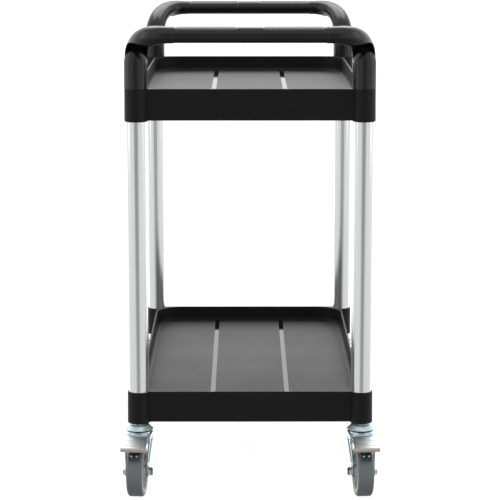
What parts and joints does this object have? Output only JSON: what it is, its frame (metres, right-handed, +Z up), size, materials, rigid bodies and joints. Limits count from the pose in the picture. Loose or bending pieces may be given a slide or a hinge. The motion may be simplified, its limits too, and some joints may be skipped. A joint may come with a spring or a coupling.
{
  "type": "food service trolley",
  "caption": "Two-shelf service trolley with moulded trays, round aluminium posts, bow push handles and swivel casters, the near ones braked.",
  "frame": {"origin": "on the floor at the middle of the footprint", "axes": "+Z up, +Y along the length towards the unbraked end, +X across the width"},
  "size_m": [0.51, 1.0214, 0.9348],
  "materials": {
    "black_plastic": "fine moulded texture, glossy strips on the deck",
    "handle_plastic": "semi-gloss moulded",
    "grip_rubber": "soft matte",
    "aluminium_tube": "satin anodised",
    "socket_plastic": "matte",
    "zinc_steel": "bright bluish zinc plate",
    "bearing_steel": "polished",
    "fastener_steel": "zinc plated",
    "pedal_steel": "satin zinc plate",
    "pedal_plastic": "matte warm grey",
    "wheel_plastic": "matte warm grey",
    "tyre_rubber": "matte slate grey"
  },
  "bodies": {
    "chassis": {"top_tray": "black_plastic", "bottom_tray": "black_plastic", "tray_screws": "fastener_steel", "handle_bar_front": "handle_plastic", "handle_bar_rear": "handle_plastic", "grip_pads_front": "grip_rubber", "grip_pads_rear": "grip_rubber", "post_front_left": "aluminium_tube", "stem_socket_front_left": "socket_plastic", "handle_elbow_front_left": "handle_plastic", "caster_stem_front_left": "zinc_steel", "swivel_cap_front_left": "zinc_steel", "post_front_right": "aluminium_tube", "stem_socket_front_right": "socket_plastic", "handle_elbow_front_right": "handle_plastic", "caster_stem_front_right": "zinc_steel", "swivel_cap_front_right": "zinc_steel", "post_rear_left": "aluminium_tube", "stem_socket_rear_left": "socket_plastic", "handle_elbow_rear_left": "handle_plastic", "caster_stem_rear_left": "zinc_steel", "swivel_cap_rear_left": "zinc_steel", "post_rear_right": "aluminium_tube", "stem_socket_rear_right": "socket_plastic", "handle_elbow_rear_right": "handle_plastic", "caster_stem_rear_right": "zinc_steel", "swivel_cap_rear_right": "zinc_steel"},
    "swivel_front_left": {"fork_front_left": "zinc_steel", "axle_bolt_front_left": "fastener_steel", "axle_bush_front_left": "bearing_steel", "swivel_balls_front_left": "bearing_steel", "brake_pin_front_left": "fastener_steel"},
    "wheel_front_left": {"wheel_hub_front_left": "wheel_plastic", "tyre_front_left": "tyre_rubber"},
    "pedal_front_left": {"brake_pedal_front_left": "pedal_steel", "pedal_pad_front_left": "pedal_plastic", "brake_shoe_front_left": "pedal_steel"},
    "swivel_front_right": {"fork_front_right": "zinc_steel", "axle_bolt_front_right": "fastener_steel", "axle_bush_front_right": "bearing_steel", "swivel_balls_front_right": "bearing_steel", "brake_pin_front_right": "fastener_steel"},
    "wheel_front_right": {"wheel_hub_front_right": "wheel_plastic", "tyre_front_right": "tyre_rubber"},
    "pedal_front_right": {"brake_pedal_front_right": "pedal_steel", "pedal_pad_front_right": "pedal_plastic", "brake_shoe_front_right": "pedal_steel"},
    "swivel_rear_left": {"fork_rear_left": "zinc_steel", "axle_bolt_rear_left": "fastener_steel", "axle_bush_rear_left": "bearing_steel", "swivel_balls_rear_left": "bearing_steel"},
    "wheel_rear_left": {"wheel_hub_rear_left": "wheel_plastic", "tyre_rear_left": "tyre_rubber"},
    "swivel_rear_right": {"fork_rear_right": "zinc_steel", "axle_bolt_rear_right": "fastener_steel", "axle_bush_rear_right": "bearing_steel", "swivel_balls_rear_right": "bearing_steel"},
    "wheel_rear_right": {"wheel_hub_rear_right": "wheel_plastic", "tyre_rear_right": "tyre_rubber"}
  },
  "joints": [
    {"name": "swivel_turn_front_left", "type": "hinge", "parent": "chassis", "child": "swivel_front_left", "pos_m": [-0.2215, -0.4035, 0.12], "axis": [0, 0, 1], "continuous": true},
    {"name": "wheel_roll_front_left", "type": "hinge", "parent": "swivel_front_left", "child": "wheel_front_left", "pos_m": [-0.22455, -0.43837, 0.05], "axis": [0.9962, -0.0872, 0], "continuous": true},
    {"name": "brake_press_front_left", "type": "hinge", "parent": "swivel_front_left", "child": "pedal_front_left", "pos_m": [-0.22411, -0.43339, 0.11], "axis": [0.9962, -0.0872, 0], "range_deg": [0, 8], "stiffness_Nm_per_rad": 1.5, "springref_deg": -2.86},
    {"name": "swivel_turn_front_right", "type": "hinge", "parent": "chassis", "child": "swivel_front_right", "pos_m": [0.2215, -0.4035, 0.12], "axis": [0, 0, 1], "continuous": true},
    {"name": "wheel_roll_front_right", "type": "hinge", "parent": "swivel_front_right", "child": "wheel_front_right", "pos_m": [0.22455, -0.43837, 0.05], "axis": [0.9962, 0.0872, 0], "continuous": true},
    {"name": "brake_press_front_right", "type": "hinge", "parent": "swivel_front_right", "child": "pedal_front_right", "pos_m": [0.22411, -0.43339, 0.11], "axis": [0.9962, 0.0872, 0], "range_deg": [0, 8], "stiffness_Nm_per_rad": 1.5, "springref_deg": -2.86},
    {"name": "swivel_turn_rear_left", "type": "hinge", "parent": "chassis", "child": "swivel_rear_left", "pos_m": [-0.2215, 0.4035, 0.12], "axis": [0, 0, 1], "continuous": true},
    {"name": "wheel_roll_rear_left", "type": "hinge", "parent": "swivel_rear_left", "child": "wheel_rear_left", "pos_m": [-0.2215, 0.3685, 0.05], "axis": [1, 0, 0], "continuous": true},
    {"name": "swivel_turn_rear_right", "type": "hinge", "parent": "chassis", "child": "swivel_rear_right", "pos_m": [0.2215, 0.4035, 0.12], "axis": [0, 0, 1], "continuous": true},
    {"name": "wheel_roll_rear_right", "type": "hinge", "parent": "swivel_rear_right", "child": "wheel_rear_right", "pos_m": [0.2215, 0.3685, 0.05], "axis": [1, 0, 0], "continuous": true}
  ]
}
